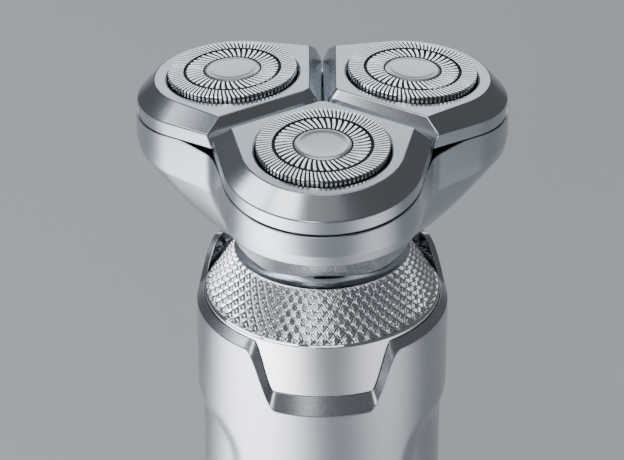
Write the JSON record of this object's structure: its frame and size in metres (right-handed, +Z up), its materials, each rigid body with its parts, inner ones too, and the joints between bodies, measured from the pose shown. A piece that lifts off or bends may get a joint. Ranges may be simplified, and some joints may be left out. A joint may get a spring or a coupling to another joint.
{
  "type": "rotary electric shaver",
  "caption": "Cordless rotary electric shaver with a cylindrical metal handle, knurled neck and a lobed head of tilting slotted discs.",
  "frame": {"origin": "centre of the foot's underside, on the handle's axis", "axes": "+Z up along the handle, -Y to the front (power button and collar notch), +X to the right"},
  "size_m": [0.0658, 0.0615, 0.1597],
  "materials": {
    "shell_metal": "satin brushed silver",
    "head_metal": "satin silver",
    "mirror_chrome": "mirror polished",
    "knurl_chrome": "bright diamond knurl",
    "foil_steel": "polished slotted steel",
    "boss_steel": "satin dome",
    "cutter_steel": "ground steel",
    "fastener_steel": "zinc plated",
    "motor_steel": "nickel plated",
    "core_metal": "laminated core and magnet",
    "spring_steel": "spring wire",
    "bronze": "sintered bronze and nickel",
    "frame_plastic": "moulded dark grey",
    "gear_plastic": "natural acetal",
    "board_green": "solder resist",
    "cell_wrap": "shrink sleeve",
    "lens": "frosted window",
    "seal_rubber": "matt black"
  },
  "bodies": {
    "handle": {"body_shell": "shell_metal", "chrome_collar": "mirror_chrome", "knurled_collar": "knurl_chrome", "neck_ring": "mirror_chrome", "top_deck": "frame_plastic", "neck_seal": "seal_rubber", "shaft_seal": "seal_rubber", "chassis": "frame_plastic", "base_cap": "shell_metal", "foot_pad": "seal_rubber", "housing_screws": "fastener_steel", "motor_can": "motor_steel", "motor_end_bell": "frame_plastic", "motor_magnets": "core_metal", "motor_bearings": "bronze", "battery_cell": "cell_wrap", "battery_wiring": "bronze", "main_board": "board_green", "board_parts": "frame_plastic", "switch_body": "frame_plastic", "button_bezel": "mirror_chrome", "button_seal": "seal_rubber", "indicator_lens": "lens", "charge_port": "motor_steel", "port_gasket": "seal_rubber"},
    "button": {"power_button": "boss_steel"},
    "rotor": {"motor_shaft": "fastener_steel", "armature": "core_metal", "drive_dog": "gear_plastic"},
    "head": {"head_base": "head_metal", "gear_plate": "frame_plastic", "gear_axles": "fastener_steel", "pivot_pins": "fastener_steel", "head_screws": "fastener_steel"},
    "centre_drive": {"centre_gear": "gear_plastic"},
    "front_lobe": {"front_cover": "head_metal", "front_retainer": "frame_plastic"},
    "front_disc": {"front_cap": "foil_steel", "front_cap_boss": "boss_steel"},
    "front_blades": {"front_cutter": "cutter_steel"},
    "front_drive": {"front_drive_gear": "gear_plastic", "front_spring": "spring_steel"},
    "front_pin": {"front_drive_pin": "gear_plastic"},
    "right_lobe": {"right_cover": "head_metal", "right_retainer": "frame_plastic"},
    "right_disc": {"right_cap": "foil_steel", "right_cap_boss": "boss_steel"},
    "right_blades": {"right_cutter": "cutter_steel"},
    "right_drive": {"right_drive_gear": "gear_plastic", "right_spring": "spring_steel"},
    "right_pin": {"right_drive_pin": "gear_plastic"},
    "left_lobe": {"left_cover": "head_metal", "left_retainer": "frame_plastic"},
    "left_disc": {"left_cap": "foil_steel", "left_cap_boss": "boss_steel"},
    "left_blades": {"left_cutter": "cutter_steel"},
    "left_drive": {"left_drive_gear": "gear_plastic", "left_spring": "spring_steel"},
    "left_pin": {"left_drive_pin": "gear_plastic"}
  },
  "joints": [
    {"name": "button_press", "type": "slide", "parent": "handle", "child": "button", "axis": [0, 1, 0], "range_m": [0, 0.0006], "stiffness_N_per_m": 800, "springref_m": -0.0003},
    {"name": "motor_spin", "type": "hinge", "parent": "handle", "child": "rotor", "pos_m": [0, 0, 0.115], "axis": [0, 0, 1], "continuous": true},
    {"name": "head_pull_off", "type": "slide", "parent": "handle", "child": "head", "axis": [0, 0, 1], "range_m": [0, 0.014]},
    {"name": "centre_gear_spin", "type": "hinge", "parent": "head", "child": "centre_drive", "pos_m": [0, 0, 0.14], "axis": [0, 0, 1], "continuous": true},
    {"name": "front_tilt", "type": "hinge", "parent": "head", "child": "front_lobe", "pos_m": [0, -0.01793, 0.15411], "axis": [-1, 0, 0], "range_deg": [0, 6], "stiffness_Nm_per_rad": 0.05, "springref_deg": -2.86},
    {"name": "front_float", "type": "slide", "parent": "front_lobe", "child": "front_disc", "axis": [0, 0.0698, -0.9976], "range_m": [0, 0.0008], "stiffness_N_per_m": 600, "springref_m": -0.0005},
    {"name": "front_cutter_spin", "type": "hinge", "parent": "front_disc", "child": "front_blades", "pos_m": [0, -0.01799, 0.15501], "axis": [0, -0.0698, 0.9976], "continuous": true},
    {"name": "front_gear_spin", "type": "hinge", "parent": "head", "child": "front_drive", "pos_m": [0, -0.018, 0.145], "axis": [0, 0, 1], "continuous": true},
    {"name": "front_pin_slide", "type": "slide", "parent": "front_drive", "child": "front_pin", "axis": [0, 0, -1], "range_m": [0, 0.0008], "deforming": ["front_spring"]},
    {"name": "right_tilt", "type": "hinge", "parent": "head", "child": "right_lobe", "pos_m": [0.01553, 0.00896, 0.15411], "axis": [0.5, -0.866, 0], "range_deg": [0, 6], "stiffness_Nm_per_rad": 0.05, "springref_deg": -2.86},
    {"name": "right_float", "type": "slide", "parent": "right_lobe", "child": "right_disc", "axis": [-0.0604, -0.0349, -0.9976], "range_m": [0, 0.0008], "stiffness_N_per_m": 600, "springref_m": -0.0005},
    {"name": "right_cutter_spin", "type": "hinge", "parent": "right_disc", "child": "right_blades", "pos_m": [0.01558, 0.009, 0.15501], "axis": [0.0604, 0.0349, 0.9976], "continuous": true},
    {"name": "right_gear_spin", "type": "hinge", "parent": "head", "child": "right_drive", "pos_m": [0.01559, 0.009, 0.145], "axis": [0, 0, 1], "continuous": true},
    {"name": "right_pin_slide", "type": "slide", "parent": "right_drive", "child": "right_pin", "axis": [0, 0, -1], "range_m": [0, 0.0008], "deforming": ["right_spring"]},
    {"name": "left_tilt", "type": "hinge", "parent": "head", "child": "left_lobe", "pos_m": [-0.01553, 0.00896, 0.15411], "axis": [0.5, 0.866, 0], "range_deg": [0, 6], "stiffness_Nm_per_rad": 0.05, "springref_deg": -2.86},
    {"name": "left_float", "type": "slide", "parent": "left_lobe", "child": "left_disc", "axis": [0.0604, -0.0349, -0.9976], "range_m": [0, 0.0008], "stiffness_N_per_m": 600, "springref_m": -0.0005},
    {"name": "left_cutter_spin", "type": "hinge", "parent": "left_disc", "child": "left_blades", "pos_m": [-0.01558, 0.009, 0.15501], "axis": [-0.0604, 0.0349, 0.9976], "continuous": true},
    {"name": "left_gear_spin", "type": "hinge", "parent": "head", "child": "left_drive", "pos_m": [-0.01559, 0.009, 0.145], "axis": [0, 0, 1], "continuous": true},
    {"name": "left_pin_slide", "type": "slide", "parent": "left_drive", "child": "left_pin", "axis": [0, 0, -1], "range_m": [0, 0.0008], "deforming": ["left_spring"]}
  ],
  "couplings": [
    {"joint": "centre_gear_spin", "follows": "motor_spin", "ratio": 1},
    {"joint": "front_cutter_spin", "follows": "motor_spin", "ratio": -0.81818},
    {"joint": "front_gear_spin", "follows": "motor_spin", "ratio": -0.81818},
    {"joint": "front_pin_slide", "follows": "front_float", "ratio": 1},
    {"joint": "right_cutter_spin", "follows": "motor_spin", "ratio": -0.81818},
    {"joint": "right_gear_spin", "follows": "motor_spin", "ratio": -0.81818},
    {"joint": "right_pin_slide", "follows": "right_float", "ratio": 1},
    {"joint": "left_cutter_spin", "follows": "motor_spin", "ratio": -0.81818},
    {"joint": "left_gear_spin", "follows": "motor_spin", "ratio": -0.81818},
    {"joint": "left_pin_slide", "follows": "left_float", "ratio": 1}
  ]
}
